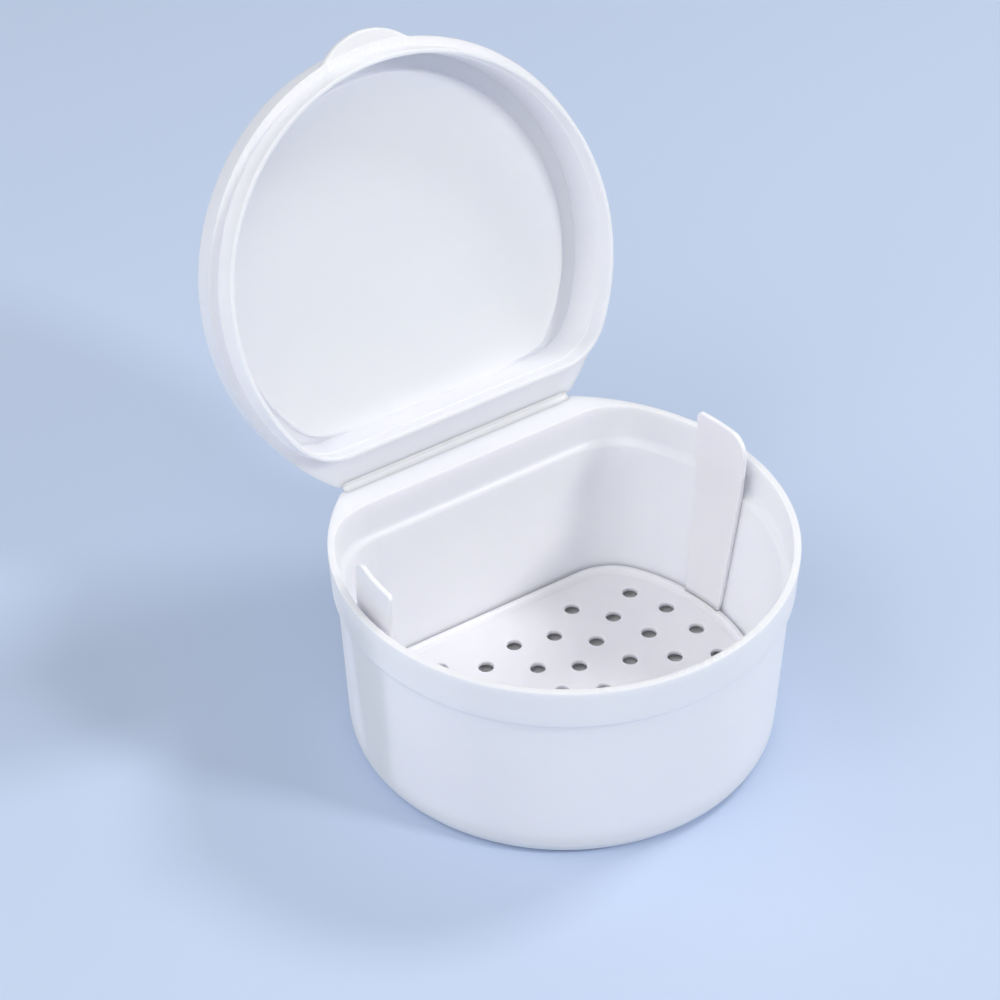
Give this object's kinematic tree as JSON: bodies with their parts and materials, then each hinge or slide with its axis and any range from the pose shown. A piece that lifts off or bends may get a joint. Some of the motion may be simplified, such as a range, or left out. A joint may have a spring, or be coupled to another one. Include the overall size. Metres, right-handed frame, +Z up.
{
  "type": "denture case",
  "caption": "D-shaped denture case: a cup with a film-hinged lid, a plug ring that grips the rim, and a loose strainer tray with two lifting ears.",
  "frame": {"origin": "middle of the rim circle, on the plane the case stands on", "axes": "+Z up, +Y towards the hinge, -Y towards the thumb tab of the shut lid, +X to the right seen from the tab"},
  "size_m": [0.092, 0.1197, 0.1248],
  "materials": {
    "case_plastic": "satin, slightly translucent",
    "tray_plastic": "satin, slightly translucent"
  },
  "bodies": {
    "cup": {"cup": "case_plastic", "hinge_film": "case_plastic"},
    "lid": {"lid": "case_plastic"},
    "tray": {"tray": "tray_plastic"}
  },
  "joints": [
    {"name": "lid_hinge", "type": "hinge", "parent": "cup", "child": "lid", "pos_m": [0, 0.0368, 0.0449], "axis": [1, 0, 0], "range_deg": [-69.1, 110.9], "deforming": ["hinge_film"]},
    {"name": "tray_lift", "type": "slide", "parent": "cup", "child": "tray", "axis": [0, 0, 1], "range_m": [0, 0.001]}
  ]
}
